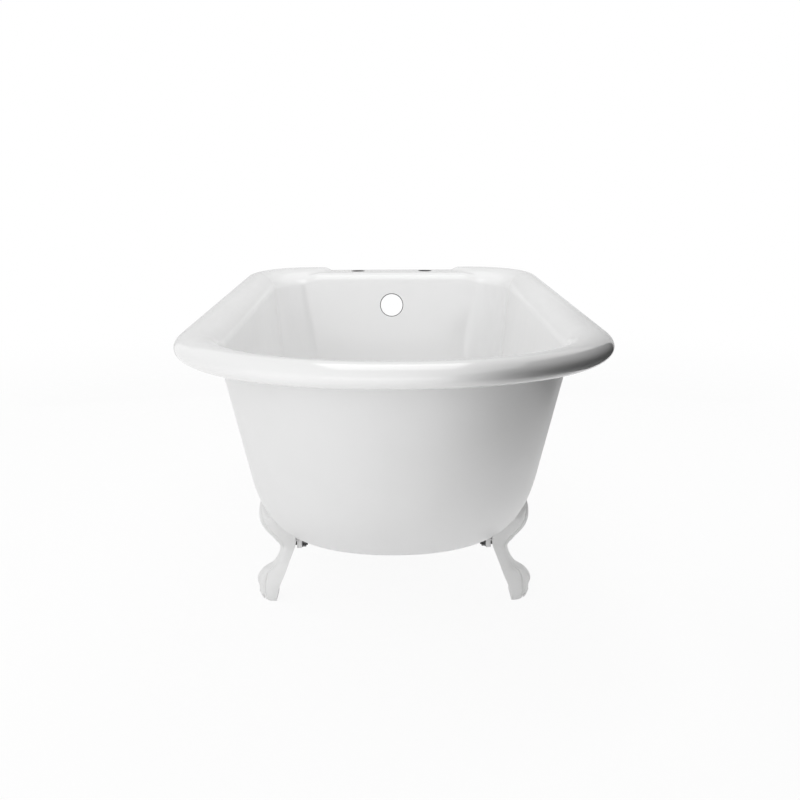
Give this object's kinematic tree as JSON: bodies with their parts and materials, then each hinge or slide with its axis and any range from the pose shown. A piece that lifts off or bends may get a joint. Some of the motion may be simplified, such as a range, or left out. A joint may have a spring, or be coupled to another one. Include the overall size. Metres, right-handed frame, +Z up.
{
  "type": "cast iron bathtub",
  "caption": "Free-standing bath with a rolled rim, a sloped round head end and a flat tap deck, on claw feet with levelling screws.",
  "frame": {"origin": "on the floor, under the middle of the bath's length and width", "axes": "+Y along the bath from the sloped head end to the tap end, +Z up, +X to the right of a viewer at the head end"},
  "size_m": [0.762, 1.524, 0.584],
  "materials": {
    "enamel": "white porcelain enamel, gloss, on cast iron",
    "foot_paint": "white enamel paint, semi-gloss, on cast iron",
    "dark_steel": "black oxide",
    "zinc_steel": "zinc plated",
    "glide_nylon": "matt"
  },
  "bodies": {
    "bath": {"tub_shell": "enamel", "head_left_foot": "foot_paint", "head_right_foot": "foot_paint", "tap_left_foot": "foot_paint", "tap_right_foot": "foot_paint", "foot_studs": "dark_steel", "foot_washers": "dark_steel", "foot_nuts": "dark_steel"},
    "head_left_leveller": {"head_left_levelling_screw": "zinc_steel", "head_left_glide": "glide_nylon"},
    "head_right_leveller": {"head_right_levelling_screw": "zinc_steel", "head_right_glide": "glide_nylon"},
    "tap_left_leveller": {"tap_left_levelling_screw": "zinc_steel", "tap_left_glide": "glide_nylon"},
    "tap_right_leveller": {"tap_right_levelling_screw": "zinc_steel", "tap_right_glide": "glide_nylon"}
  },
  "joints": [
    {"name": "head_left_level", "type": "slide", "parent": "bath", "child": "head_left_leveller", "axis": [0, 0, 1], "range_m": [-0.012, 0]},
    {"name": "head_right_level", "type": "slide", "parent": "bath", "child": "head_right_leveller", "axis": [0, 0, 1], "range_m": [-0.012, 0]},
    {"name": "tap_left_level", "type": "slide", "parent": "bath", "child": "tap_left_leveller", "axis": [0, 0, 1], "range_m": [-0.012, 0]},
    {"name": "tap_right_level", "type": "slide", "parent": "bath", "child": "tap_right_leveller", "axis": [0, 0, 1], "range_m": [-0.012, 0]}
  ]
}
